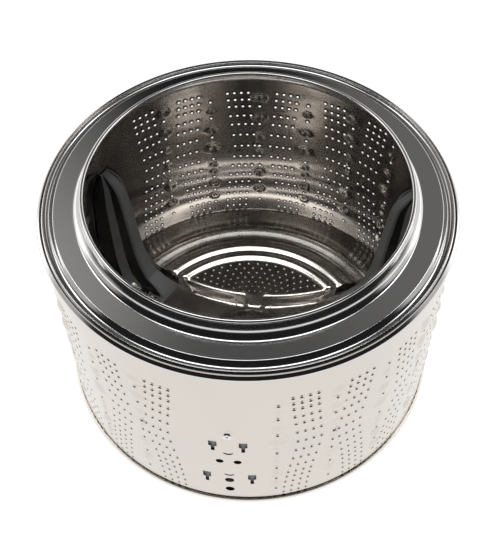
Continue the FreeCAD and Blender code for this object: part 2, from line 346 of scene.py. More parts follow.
# ---- finishes --------------------------------------------------------------------------
@dataclass
class Wiring:
    """A shader's nodes and the links between them."""

    tree: bpy.types.NodeTree

    def add(self, kind: str, feeds: dict | None = None, **settings: object) -> bpy.types.Node:
        """Adds a node, sets it up and feeds its inputs.

        Args:
            kind: Blender's node type.
            feeds: a plain value or another node's output for each input.
            settings: the node's own properties.

        Returns:
            The node.
        """
        node = self.tree.nodes.new(kind)
        for key, value in settings.items():
            setattr(node, key, value)
        for key, feed in (feeds or {}).items():
            if isinstance(feed, bpy.types.NodeSocket):
                self.tree.links.new(feed, node.inputs[key])
            else:
                node.inputs[key].default_value = feed
        return node

    def noise(self, place: bpy.types.NodeSocket, scale: float, detail: float = 2.0) -> bpy.types.NodeSocket:
        """Adds a noise.

        Args:
            place: the coordinates that it reads.
            scale: how fine it is.
            detail: how many finer layers it has.

        Returns:
            The noise's strength.
        """
        feeds = {"Vector": place, "Scale": scale, "Detail": detail}
        return self.add("ShaderNodeTexNoise", feeds).outputs["Fac"]

    def colour(self, shader: bpy.types.Node, share: bpy.types.NodeSocket, low: Iterable[float],
               high: Iterable[float]) -> None:
        """Mottles a shader between two colours.

        Args:
            shader: the shader.
            share: the noise that mixes them.
            low: the colour at 0.
            high: the colour at 1.
        """
        feeds = {"A": (*low, 1.0), "B": (*high, 1.0), "Factor": share}
        mix = self.add("ShaderNodeMix", feeds, data_type="RGBA")
        self.tree.links.new(mix.outputs["Result"], shader.inputs["Base Color"])

    def roughen(self, shader: bpy.types.Node, share: bpy.types.NodeSocket, reach: Point,
                band: Point = (0.0, 1.0)) -> None:
        """Varies a shader's roughness.

        Args:
            shader: the shader.
            share: the noise that it follows.
            reach: the lowest and highest roughness.
            band: the noise's strengths that give them.
        """
        feeds = {"From Min": band[0], "From Max": band[1], "To Min": reach[0], "To Max": reach[1],
                 "Value": share}
        rough = self.add("ShaderNodeMapRange", feeds)
        self.tree.links.new(rough.outputs["Result"], shader.inputs["Roughness"])

    def emboss(self, shader: bpy.types.Node, height: bpy.types.NodeSocket, strength: float) -> None:
        """Gives a shader a fine relief.

        Args:
            shader: the shader.
            height: the noise that it follows.
            strength: how strong it is.
        """
        feeds = {"Strength": strength, "Distance": RELIEF, "Height": height}
        bump = self.add("ShaderNodeBump", feeds)
        self.tree.links.new(bump.outputs["Normal"], shader.inputs["Normal"])


class Grain(Enum):
    """Which way the fine lines of a metal run."""

    ROUND_THE_AXIS = "turned"
    ALONG_THE_SHEET = "rolled"
    NONE = "cast"


@dataclass(frozen=True)
class Metal:
    """A metal finish with grain, cloudy roughness and a light mottle of colour."""

    name: str
    base: tuple[float, float, float]
    tint: tuple[float, float, float]
    roughness: float
    spread: float = 0.08
    grain: Grain = Grain.ALONG_THE_SHEET
    grain_scale: float = 900.0
    bump: float = 0.05
    metallic: float = 1.0
    cloud_scale: float = 14.0
    rolled_scale: float = 6.0

    def material(self) -> bpy.types.Material:
        """Builds the node material.

        Returns:
            The material.
        """
        made = bpy.data.materials.new(self.name)
        made.use_nodes = True
        wiring = Wiring(made.node_tree)
        shader = made.node_tree.nodes["Principled BSDF"]
        shader.inputs["Metallic"].default_value = self.metallic
        place = wiring.add("ShaderNodeTexCoord").outputs["Object"]
        lines = wiring.noise(self.grain_vector(wiring, place), 1.0, 3.0)
        clouds = wiring.noise(place, self.cloud_scale, 4.0)
        wiring.colour(shader, clouds, self.base, self.tint)
        reach = (self.roughness - self.spread, self.roughness + self.spread)
        wiring.roughen(shader, lines, reach, (0.3, 0.7))
        wiring.emboss(shader, lines, self.bump)
        return made

    def grain_vector(self, wiring: Wiring, place: bpy.types.NodeSocket) -> bpy.types.NodeSocket:
        """Coordinates that stretch a noise along the grain.

        Args:
            wiring: the material's nodes.
            place: the object's own coordinates.

        Returns:
            The socket that holds the stretched coordinates.
        """
        if self.grain is Grain.ROUND_THE_AXIS:
            split = wiring.add("ShaderNodeSeparateXYZ", {"Vector": place}).outputs
            flat = wiring.add("ShaderNodeCombineXYZ", {"X": split["X"], "Y": split["Y"]})
            reach = wiring.add("ShaderNodeVectorMath", {0: flat.outputs["Vector"]}, operation="LENGTH")
            both = wiring.add("ShaderNodeMath", {0: reach.outputs["Value"], 1: split["Z"]},
                              operation="ADD")
            scaled = wiring.add("ShaderNodeMath", {0: both.outputs["Value"], 1: self.grain_scale},
                                operation="MULTIPLY")
            return wiring.add("ShaderNodeCombineXYZ", {"X": scaled.outputs["Value"]}).outputs["Vector"]
        scale = (self.grain_scale,) * 3
        if self.grain is Grain.ALONG_THE_SHEET:
            scale = (self.rolled_scale, self.rolled_scale, self.grain_scale)
        return wiring.add("ShaderNodeMapping", {"Scale": scale, "Vector": place}).outputs["Vector"]


@dataclass(frozen=True)
class Moulded:
    """A moulded plastic or rubber with a fine texture."""

    name: str
    base: tuple[float, float, float]
    roughness: float
    coat: float = 0.0
    texture_scale: float = 700.0
    bump: float = 0.08
    spread: float = 0.08
    mottle: float = 0.15
    cloud_scale: float = 25.0

    def material(self) -> bpy.types.Material:
        """Builds the node material.

        Returns:
            The material.
        """
        made = bpy.data.materials.new(self.name)
        made.use_nodes = True
        wiring = Wiring(made.node_tree)
        shader = made.node_tree.nodes["Principled BSDF"]
        shader.inputs["Coat Weight"].default_value = self.coat
        shader.inputs["Coat Roughness"].default_value = 0.12
        place = wiring.add("ShaderNodeTexCoord").outputs["Object"]
        speckle = wiring.noise(place, self.texture_scale)
        clouds = wiring.noise(place, self.cloud_scale)
        darker = [part * (1 - self.mottle) for part in self.base]
        wiring.colour(shader, clouds, darker, [part * (1 + self.mottle) for part in self.base])
        smoothest = max(self.roughness - self.spread, 0.02)
        wiring.roughen(shader, clouds, (smoothest, self.roughness + self.spread))
        wiring.emboss(shader, speckle, self.bump)
        return made


@dataclass(frozen=True)
class Palette:
    """Every finish on the drum."""

    shell: Metal = Metal("shell_steel", (0.71, 0.66, 0.60), (0.66, 0.62, 0.58), 0.20,
                         spread=0.03, bump=0.004)
    # painted shade: the inside is the same steel as the outside, given a darker base colour for the shade
    # inside the drum, plus its own lower roughness
    inside: Metal = Metal("shell_inside_steel_painted_shade", (0.56, 0.53, 0.50), (0.50, 0.47, 0.45), 0.12,
                          spread=0.02, bump=0.003)
    ring: Metal = Metal("ring_steel", (0.72, 0.72, 0.73), (0.68, 0.67, 0.66), 0.13,
                        spread=0.025, grain=Grain.ROUND_THE_AXIS, bump=0.01)
    plate: Metal = Metal("plate_steel", (0.88, 0.84, 0.78), (0.82, 0.78, 0.72), 0.20,
                         spread=0.02, grain=Grain.NONE, grain_scale=60.0, bump=0.002)
    bright: Metal = Metal("bright_steel", (0.80, 0.80, 0.82), (0.74, 0.74, 0.76), 0.16,
                          grain=Grain.ROUND_THE_AXIS)
    zinc: Metal = Metal("zinc_plate", (0.70, 0.71, 0.68), (0.62, 0.62, 0.58), 0.34, grain=Grain.NONE)
    cast: Metal = Metal("cast_aluminium", (0.60, 0.61, 0.63), (0.50, 0.51, 0.53), 0.50,
                        grain=Grain.NONE, grain_scale=420.0, bump=0.5)
    iron: Metal = Metal("coated_iron", (0.20, 0.21, 0.23), (0.16, 0.17, 0.18), 0.55,
                        grain=Grain.NONE, grain_scale=380.0, bump=0.5, metallic=0.35)
    brass: Metal = Metal("turned_brass", (0.80, 0.62, 0.32), (0.74, 0.56, 0.28), 0.22,
                         grain=Grain.ROUND_THE_AXIS)
    flank: Moulded = Moulded("lifter_flank", (0.022, 0.023, 0.026), 0.16, coat=0.6)
    crest: Moulded = Moulded("lifter_crest", (0.27, 0.28, 0.28), 0.45)
    rubber: Moulded = Moulded("seal_rubber", (0.012, 0.012, 0.013), 0.6)


# ---- the punched shell -----------------------------------------------------------------
@dataclass(frozen=True)
class Bowl:
    """A round or oval dimple pressed outwards, placed on a column of the shell."""

    z: float
    half_width: float
    half_height: float
    depth: float
    ring: bool = False


@dataclass
class PunchedShell:
    """The drum's shell: three sectors with rows of pips, pressed bowls and lifter slots."""

    columns: int = 6
    first_column_deg: float = 13.5
    column_pitch_deg: float = 16.2
    first_hole_deg: float = 3.7
    hole_pitch_deg: float = 2.267
    holes_across: int = 4
    half_block_deg: float = 0.9
    half_block_mm: float = 3.8
    start_deg: float = -12.0
    top_pip_radius: float = 1.72
    foot_pip_radius: float = 1.35
    thickness: float = 0.6
    rows: tuple[float, ...] = (7.6, 17.5, 31.0, 45.0, 58.8, 71.0, 87.5, 106.0, 126.0, 147.5, 170.0,
                               191.0, 207.5, 225.0, 237.5, 250.0)
    bowls_a: tuple[Bowl, ...] = (
        Bowl(219, 7, 6, 1.8), Bowl(184, 10, 8, 2.8), Bowl(148, 13, 12, 3.0), Bowl(114, 6, 6, 1.6),
        Bowl(99, 7, 6, 1.6), Bowl(73, 9, 9, 2.0, True), Bowl(44, 8, 8, 1.8, True),
    )
    bowls_b: tuple[Bowl, ...] = (
        Bowl(239, 12, 9, 3.0), Bowl(203, 12, 9, 3.0), Bowl(168, 7, 6, 1.8), Bowl(136, 6, 5, 1.4),
        Bowl(92, 10, 9, 2.2), Bowl(54, 9, 9, 2.0, True),
    )
    holes_a: tuple[float, ...] = (237.5, 207.5, 170.0, 126.0, 87.5, 58.8, 31.0)
    holes_b: tuple[float, ...] = (225.0, 191.0, 147.5, 126.0, 106.0, 71.0, 31.0)
    row_lines: list[float] = field(default_factory=list)

    def build(self, finish: Metal, inside: Metal) -> list[bpy.types.Object]:
        """Makes and dresses the three sectors.

        Args:
            finish: the metal's look outside.
            inside: the inner face's metal, a darker copy of the same steel that paints shade into the
                drum's inside.

        Returns:
            The sectors.
        """
        self.row_lines = self.lines_up()
        flat = self.flat_sheet()
        cutter = self.slot_cutter()
        look, shaded_lining = finish.material(), inside.material()
        sectors = []
        for number in range(LIFTERS):
            sector = flat.copy()
            sector.data = flat.data.copy()
            sector.name = sector.data.name = f"shell_sector_{number + 1}"
            bpy.context.collection.objects.link(sector)
            self.roll(sector, FIRST_LIFTER + number * LIFTER_PITCH)
            sector.data.materials.append(look)
            # the inner face gets the darker copy of the steel, as painted shade inside the drum
            sector.data.materials.append(shaded_lining)
            apply_modifier(sector, "SOLIDIFY", thickness=self.thickness * MM, offset=-1.0,
                           material_offset=1)
            self.cut_slots(sector, cutter, number)
            settle(sector, 50.0)
            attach(sector, "drum")
            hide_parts("drum_shell")
            LOG.info("%s: %d faces", sector.name, len(sector.data.polygons))
            sectors.append(sector)
        bpy.data.objects.remove(flat)
        bpy.data.objects.remove(cutter)
        return sectors

    def lines_up(self) -> list[float]:
        """Sets out the sheet's cross lines.

        Returns:
            Their heights, in millimetres above the rear seam.
        """
        lines = [1.0]
        for z in self.rows:
            start, gap = lines[-1], z - self.half_block_mm - lines[-1]
            parts = 4 if gap > 9.0 else 2
            lines += [start + gap * part / parts for part in range(1, parts) if gap > 1.0]
            lines += [z - self.half_block_mm, z, z + self.half_block_mm]
        return lines + [261.0, 270.0, 279.0, 288.0, 297.0, 306.0]

    def pip_radius(self, z: float) -> float:
        """A pip's hole radius at a height: the pips get smaller towards the rear."""
        return self.foot_pip_radius + (self.top_pip_radius - self.foot_pip_radius) * z / 250.0

    def drift_deg(self, z: float) -> float:
        """How far the panels of pips lean sideways at a height.

        Args:
            z: height above the rear seam, in millimetres.

        Returns:
            Degrees towards the next column.
        """
        heights = (0.0, 30.0, 60.0, 90.0, 120.0, 150.0, 180.0, 215.0, 250.0)
        leans = (-1.5, -1.3, -0.6, 0.3, 1.5, 2.1, 1.5, 0.6, 0.0)
        return float(np.interp(z, heights, leans))

    def lines_across(self, z: float) -> list[float]:
        """Sets out the sheet's upright lines at one height.

        Args:
            z: height above the rear seam, in millimetres.

        Returns:
            Their angles, in degrees past the lifter.
        """
        drift = self.drift_deg(z)
        half = self.half_block_deg
        first = self.first_column_deg - half
        plain = 24
        lines = [self.start_deg + (first - self.start_deg) * i / plain for i in range(plain + 1)]
        for column in range(self.columns):
            centre = self.first_column_deg + column * self.column_pitch_deg
            lean = drift if column % 2 == 0 else -drift
            if column:
                left = lines[-1]
                lines += [left + (centre - half - left) * i / 5 for i in (1, 2, 3, 4, 5)]
            lines += [centre, centre + half]
            hole = centre + self.first_hole_deg + lean
            lines.append((centre + hole) / 2)
            for _ in range(self.holes_across):
                lines += [hole - half, hole, hole + half]
                hole += self.hole_pitch_deg
        end = self.start_deg + 360.0 / LIFTERS
        return lines + [(lines[-1] + end) / 2, end]

    def flat_sheet(self) -> bpy.types.Object:
        """Lays out one sector flat, with x along the sheet, y up the drum and z outwards.

        Returns:
            The punched and dimpled sheet.
        """
        across = [self.lines_across(z) for z in self.row_lines]
        wide, high = len(across[0]) - 1, len(self.row_lines) - 1
        bpy.ops.object.select_all(action="DESELECT")
        bpy.ops.mesh.primitive_grid_add(x_subdivisions=wide, y_subdivisions=high, size=2)
        sheet = newest("flat_sheet")
        points = read_points(sheet)
        column = np.rint((points[:, 0] + 1) / 2 * wide).astype(int)
        row = np.rint((points[:, 1] + 1) / 2 * high).astype(int)
        table = np.radians(np.array(across)) * SHELL_R
        points[:, 0] = table[row, column]
        points[:, 1] = np.array(self.row_lines)[row] * MM
        points[:, 2] = 0.0
        write_points(sheet, points)
        centres = self.hole_lines(table)
        cells = {(i + di, j + dj) for i, j in centres for di in (-1, 0) for dj in (-1, 0)}
        blocks = []
        for face in sheet.data.polygons:
            corner = (min(column[v] for v in face.vertices), min(row[v] for v in face.vertices))
            if corner in cells:
                blocks.append(face.index)
        holes = [Hole(table[j, i], self.row_lines[j] * MM, r * MM) for (i, j), r in centres.items()]
        punch(sheet, blocks, holes, -0.9)
        self.press_bowls(sheet)
        return sheet

    def hole_lines(self, table: np.ndarray) -> dict[tuple[int, int], float]:
        """Which line crossings are the middles of holes.

        Args:
            table: the crossings' places along the sheet, a row for each height.

        Returns:
            The hole's radius in millimetres for each (upright line, cross line).
        """
        found = {}
        half = self.half_block_mm
        for j, z in enumerate(self.row_lines):
            if z not in self.rows:
                continue
            for column in range(self.columns):
                lean = self.drift_deg(z) * (1 if column % 2 == 0 else -1)
                centre = self.first_column_deg + column * self.column_pitch_deg
                for number in range(self.holes_across):
                    at = centre + self.first_hole_deg + lean + number * self.hole_pitch_deg
                    i = int(np.argmin(abs(table[j] - math.radians(at) * SHELL_R)))
                    found[i, j] = self.pip_radius(z)
        for column in range(self.columns):
            centre = self.first_column_deg + column * self.column_pitch_deg
            for z in self.holes_a if column % 2 == 0 else self.holes_b:
                j = int(np.argmin([abs(z - line) for line in self.row_lines]))
                near = abs(self.row_lines[j + 1] - self.row_lines[j] - half) < 0.01
                i = int(np.argmin(abs(table[j] - math.radians(centre) * SHELL_R)))
                if near:
                    found[i, j] = self.pip_radius(z)
        return found

    def refine_bowls(self, sheet: bpy.types.Object) -> None:
        """Subdivides the plain faces under the dimples and the screw's collar.

        Args:
            sheet: the flat sheet.
        """
        spots = [(0.0, Bowl(172.0, 10, 10, 0.9))]
        for column in range(self.columns):
            centre = math.radians(self.first_column_deg + column * self.column_pitch_deg) * SHELL_R
            spots += [(centre, bowl) for bowl in (self.bowls_a if column % 2 == 0 else self.bowls_b)]
        pick(sheet)
        go(Mode.EDIT)
        bpy.ops.mesh.select_mode(type="FACE")
        bpy.ops.mesh.select_all(action="DESELECT")
        mesh = bmesh.from_edit_mesh(sheet.data)
        for face in mesh.faces:
            middle = face.calc_center_median()
            if len(face.verts) != 4 or face.calc_area() < 9.0 * MM * MM:
                continue
            for centre, bowl in spots:
                side = (middle.x - centre) / ((bowl.half_width + 1.5) * MM)
                rise = (middle.y - bowl.z * MM) / ((bowl.half_height + 1.5) * MM)
                if side ** 2 + rise ** 2 < 1.0:
                    face.select = True
                    break
        bmesh.update_edit_mesh(sheet.data)
        bpy.ops.mesh.subdivide(number_cuts=2)
        go(Mode.OBJECT)

    def press_bowls(self, sheet: bpy.types.Object) -> None:
        """Presses the dimples outwards, and the raised collar round each lifter screw.

        Args:
            sheet: the flat sheet.
        """
        self.refine_bowls(sheet)
        points = read_points(sheet)
        for column in range(self.columns):
            centre = math.radians(self.first_column_deg + column * self.column_pitch_deg) * SHELL_R
            for bowl in self.bowls_a if column % 2 == 0 else self.bowls_b:
                self.press(points, centre, bowl)
        self.press(points, 0.0, Bowl(172.0, 10, 10, 0.9, True))
        write_points(sheet, points)

    def press(self, points: np.ndarray, centre: float, bowl: Bowl) -> None:
        """Lifts the points inside one dimple.

        Args:
            points: the sheet's vertices.
            centre: the column's place along the sheet.
            bowl: the dimple.
        """
        side = (points[:, 0] - centre) / (bowl.half_width * MM)
        rise = (points[:, 1] - bowl.z * MM) / (bowl.half_height * MM)
        away = np.minimum(side ** 2 + rise ** 2, 1.0)
        lift = (1 - away) ** 2 * away * 6.0 if bowl.ring else (1 - away) ** 1.1
        points[:, 2] += lift * bowl.depth * MM

    def roll(self, sector: bpy.types.Object, lifter: float) -> None:
        """Rolls a flat sheet on to the drum's cylinder.

        Args:
            sector: the sheet.
            lifter: the polar angle of the lifter that it holds.
        """
        points = read_points(sector)
        angle = lifter + points[:, 0] / SHELL_R
        reach = SHELL_R + points[:, 2]
        rolled = np.column_stack((reach * np.cos(angle), reach * np.sin(angle), SEAM_Z + points[:, 1]))
        write_points(sector, rolled)

    def slot_cutter(self) -> bpy.types.Object:
        """The punches for one lifter's fixings: key slots, crescents, round holes.

        Returns:
            One object that holds all of them, standing on the +X axis.
        """
        outlines = [arc((0, 172), 3.4, 0, 337.5, 15)]
        for sign in (-1, 1):
            outlines.append(self.key_outline(sign * 18, 155, 132))
            outlines.append(self.key_outline(sign * 28, 72, 47))
            outlines.append(arc((sign * 10.8, 106), 4.8, 0, 337.5, 15))
        outlines += [arc((0, 56), 5.8, 0, 337.5, 15), arc((0, 31), 5.8, 0, 337.5, 15)]
        for z in (127, 71):
            outlines.append(arc((0, z + 4), 7.0, 215, 325, 8) + arc((0, z + 9), 8.6, 313, 227, 6))
        return join([self.punch_tool(outline) for outline in outlines], "slot_cutter")

    def key_outline(self, side: float, top: float, foot: float) -> list[Point]:
        """Outline of a key slot: a wide window over a narrow neck.

        Args:
            side: the slot's middle.
            top: its upper edge.
            foot: its lower end.

        Returns:
            The corners, in millimetres along the sheet and up.
        """
        middle = (top + foot) / 2
        return [(side - 5, top), (side - 5, middle), (side - 2.2, middle - 1), (side - 2.2, foot),
                (side + 2.2, foot), (side + 2.2, middle - 1), (side + 5, middle), (side + 5, top)]

    def punch_tool(self, outline: list[Point]) -> bpy.types.Object:
        """Extrudes an outline through the shell's wall.

        Args:
            outline: the corners, in millimetres along the sheet and up.

        Returns:
            The closed tool.
        """
        inside, through = SHELL_R - 10 * MM, Vector((20 * MM, 0, 0))
        points = [Vector((inside, x * MM, SEAM_Z + z * MM)) for x, z in outline]
        tool = draw_line("punch_tool", points)
        go(Mode.EDIT)
        bpy.ops.mesh.select_all(action="SELECT")
        bpy.ops.mesh.edge_face_add()
        bpy.ops.mesh.extrude_region_move(TRANSFORM_OT_translate={"value": through})
        bpy.ops.mesh.select_all(action="SELECT")
        bpy.ops.mesh.normals_make_consistent(inside=False)
        go(Mode.OBJECT)
        return tool

    def cut_slots(self, sector: bpy.types.Object, cutter: bpy.types.Object, number: int) -> None:
        """Cuts one lifter's fixings out of a sector.

        Args:
            sector: the rolled and thickened sector.
            cutter: the punches on the +X axis.
            number: which lifter the sector holds, from zero.
        """
        cutter.matrix_world = Matrix.Rotation(FIRST_LIFTER + number * LIFTER_PITCH, 4, "Z")
        bpy.context.view_layer.update()
        apply_modifier(sector, "BOOLEAN", object=cutter, operation="DIFFERENCE", solver="EXACT")


# ---- the front ring --------------------------------------------------------------------
@dataclass
class FrontRing:
    """Front cover: rolled seam, groove, flat face, bead, neck and curled lip."""

    face_z: float = 308.0
    lip_r: float = 193.8
    lip_z: float = 327.38
    lip_bead: float = 2.8
    thickness: float = 0.8
    steps: int = 240

    def profile(self) -> list[Point]:
        """Draws the outer skin.

        Returns:
            Its points, from the lip's inner edge to the seam's lower edge.
        """
        lip = arc((self.lip_r, self.lip_z), self.lip_bead, 250, -35, 16)
        neck = [(196.3, 325.0), (196.8, 321.5), (197.6, 318.0), (198.8, 314.8), (200.6, 312.2)]
        bead = [(202.8, 310.0), (204.6, 308.5), (206.0, self.face_z)]
        flat = [(207.4, self.face_z), (214.0, self.face_z), (221.0, self.face_z), (227.5, self.face_z)]
        shoulder = arc((228.8, self.face_z - 1.6), 1.6, 90, 45, 4)
        groove = [(232.0, 304.8), (234.6, 303.0), (236.4, 302.4), (238.2, 302.7), (239.6, 303.8)]
        roll = [(240.6, 305.4)] + arc((241.8, 305.6), 1.2, 130, 45, 4) + [(245.6, 303.6), (248.6, 301.2)]
        skirt = [(249.3, 300.5), (249.7, 299.7), (249.7, 298.6), (249.1, 298.1), (247.4, 298.0)]
        return lip + neck + bead + flat + shoulder + groove + roll + skirt

    def build(self, finish: Metal) -> bpy.types.Object:
        """Makes and dresses the ring.

        Args:
            finish: the ring's metal.

        Returns:
            The ring.
        """
        ring = spin_profile("front_cover_ring", self.profile(), self.steps)
        apply_modifier(ring, "SOLIDIFY", thickness=self.thickness * MM, offset=-1.0)
        settle(ring, 40.0)
        ring.data.materials.append(finish.material())
        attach(ring, "drum")
        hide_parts("front_ring")
        LOG.info("%s: %d faces", ring.name, len(ring.data.polygons))
        return ring


# ---- the rear plate --------------------------------------------------------------------
@dataclass
class RearPlate:
    """Rear wall: raised fields with ridges and holes, between the arms of a star recess."""

    floor_z: float = -3.0
    half_arm: float = 24.0
    reach: float = 238.0
    chord: float = 73.0
    bow: float = 0.0018
    wall: float = 3.5
    ramp: float = 12.0
    thickness: float = 0.8
    steps: int = 240
    hole_pitch: int = 4
    hole_rows: tuple[float, ...] = (131.0, 122.5, 114.0, 105.5, 97.0, 88.5, 80.0)
    hub_r: float = 58.0

    def profile(self) -> list[Point]:
        """Draws the fields' upper skin.

        Returns:
            Its points, from the axis to the seam's outer edge.
        """
        stations = (0.0, 8.0, 16.0, 24.0, 31.0, 37.0, 43.0, 49.0, 54.0, 59.0, 64.0, 68.5, 73.0)
        inner = [(r, 10.0) for r in stations]
        for r in self.hole_rows[::-1]:
            half = 2.8
            inner += [(r - half, 10.0), (r, 10.0), (r + half, 10.0)]
        step = [(135.0, 10.0), (138.0, 10.3), (140.5, 11.4), (143.0, 12.8), (146.0, 13.4),
                (149.0, 13.1), (151.5, 12.0), (154.0, 11.0), (156.5, 11.4), (159.0, 12.8)]
        ridges = [(162.0, 14.0), (165.0, 14.3), (168.0, 13.8), (171.0, 12.3), (174.0, 10.3),
                  (177.5, 8.7), (181.0, 8.0), (185.0, 8.2), (189.0, 9.2), (193.0, 10.8),
                  (197.0, 12.0), (200.5, 12.6), (204.0, 12.4), (207.5, 11.4), (211.0, 9.9),
                  (215.0, 8.4), (219.0, 7.2), (224.0, 6.2), (230.0, 5.2), (236.0, 4.4), (240.0, 3.8)]
        rim = [(242.6, 3.5), (244.2, 3.2), (244.9, 2.4), (245.1, 1.0), (245.3, 0.2)]
        roll = [(246.6, 0.2), (247.9, 0.4), (248.7, 1.0), (249.0, 1.9), (248.8, 2.9), (248.2, 4.0),
                (247.4, 5.1), (246.5, 6.2)]
        return inner + step + ridges + rim + roll

    def depth_inside(self, x: np.ndarray, y: np.ndarray) -> np.ndarray:
        """How far down the star's walls points are: 0 at their top edge, 1 at their foot.

        Args:
            x: the points' places.
            y: the points' places.

        Returns:
            The distances.
        """
        middle = np.full_like(x, 1.0)
        inside = np.full_like(x, -1e3)
        for number in range(LIFTERS):
            angle = FIRST_LIFTER + number * LIFTER_PITCH
            along = x * math.cos(angle) + y * math.sin(angle)
            across = -x * math.sin(angle) + y * math.cos(angle)
            arm = np.minimum(self.half_arm - abs(across), self.reach - along)
            arm = np.where(along > 0, arm, -1e3)
            inside = np.maximum(inside, arm / self.wall)
            middle = np.minimum(middle, (self.chord + self.bow * across ** 2 + along) / self.ramp)
        return np.maximum(inside, middle)

    def build(self, finish: Metal) -> bpy.types.Object:
        """Makes and dresses the plate.

        Args:
            finish: the plate's metal.

        Returns:
            The plate.
        """
        plate = spin_profile("rear_wall_plate", self.profile(), self.steps)
        self.look_up(plate)
        self.punch_fields(plate)
        self.score_outline(plate)
        self.sink_star(plate)
        apply_modifier(plate, "SOLIDIFY", thickness=self.thickness * MM, offset=-1.0)
        settle(plate, 40.0)
        plate.data.materials.append(finish.material())
        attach(plate, "drum")
        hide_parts("rear_plate")
        LOG.info("%s: %d faces", plate.name, len(plate.data.polygons))
        return plate

    def look_up(self, plate: bpy.types.Object) -> None:
        """Turns the skin so that its fields face the mouth.

        Args:
            plate: the skin.
        """
        up = sum(face.normal.z * face.area for face in plate.data.polygons)
        if up < 0:
            flip(plate)

    def punch_fields(self, plate: bpy.types.Object) -> None:
        """Punches the arcs of rimmed holes in the three fields.

        Args:
            plate: the skin.
        """
        step = 2 * math.pi / self.steps
        holes, cells = [], set()
        for row, r in enumerate(self.hole_rows):
            shift = self.hole_pitch // 2 if row % 2 else 0
            for spoke in range(shift, self.steps, self.hole_pitch):
                angle = spoke * step
                x, y = r * math.cos(angle), r * math.sin(angle)
                if self.depth_inside(np.array([x]), np.array([y]))[0] > -0.35:
                    continue
                radius = r * step * 0.33
                holes.append(Hole(x * MM, y * MM, radius * MM, angle - math.pi / 2))
                cells.add((row, spoke % self.steps))
        blocks = []
        for face in plate.data.polygons:
            centre = face.center
            r = math.hypot(centre.x, centre.y) / MM
            row = int(np.argmin([abs(r - place) for place in self.hole_rows]))
            if abs(r - self.hole_rows[row]) > 2.7 or centre.z > SEAM_Z + 11 * MM:
                continue
            spoke = math.atan2(centre.y, centre.x) / step
            for near in (math.floor(spoke), math.ceil(spoke)):
                if (row, near % self.steps) in cells:
                    blocks.append(face.index)
                    break
        punch(plate, blocks, holes, 0.9)
        LOG.info("%s: %d holes", plate.name, len(holes))

    def score_outline(self, plate: bpy.types.Object) -> None:
        """Cuts edges into the skin along the star's straight sides and the foot of their walls.

        Args:
            plate: the skin.
        """
        for number in range(LIFTERS):
            angle = FIRST_LIFTER + number * LIFTER_PITCH
            along = Vector((math.cos(angle), math.sin(angle), 0))
            across = Vector((-along.y, along.x, 0))
            for inset in (0.0, self.wall):
                for side in (-1, 1):
                    self.score(plate, across * side * (self.half_arm - inset) * MM, across, along)

    def score(self, plate: bpy.types.Object, point: Vector, normal: Vector, along: Vector) -> None:
        """Cuts edges where an upright plane crosses the skin, on one side of the axis.

        Args:
            plate: the skin.
            point: a point on the plane.
            normal: the plane's normal.
            along: the side of the axis that is cut.
        """
        pick(plate)
        go(Mode.EDIT)
        bpy.ops.mesh.select_mode(type="FACE")
        bpy.ops.mesh.select_all(action="DESELECT")
        mesh = bmesh.from_edit_mesh(plate.data)
        for face in mesh.faces:
            face.select = face.calc_center_median().dot(along) > 20 * MM
        bmesh.update_edit_mesh(plate.data)
        bpy.ops.mesh.bisect(plane_co=point, plane_no=normal)
        go(Mode.OBJECT)

    def sink_star(self, plate: bpy.types.Object) -> None:
        """Sinks the star to its floor, with sloped walls and a shallow round hub.

        Args:
            plate: the skin.
        """
        points = read_points(plate)
        inside = self.depth_inside(points[:, 0] / MM, points[:, 1] / MM)
        share = np.clip(inside, 0.0, 1.0)
        share = share * share * (3 - 2 * share)
        reach = np.hypot(points[:, 0], points[:, 1]) / MM
        hub = np.clip((self.hub_r - reach) / 9.0, 0.0, 1.0)
        floor = SEAM_Z + (self.floor_z + 2.4 * hub * hub * (3 - 2 * hub)) * MM
        points[:, 2] += share * (floor - points[:, 2]) * (reach < self.reach + 1)
        write_points(plate, points)


# ---- lifters ---------------------------------------------------------------------------
@dataclass(frozen=True)
class Section:
    """One cross-section of a lifter, in millimetres."""

    z: float
    crest_r: float
    foot: float
    crest: float
    sway: float = 0.0


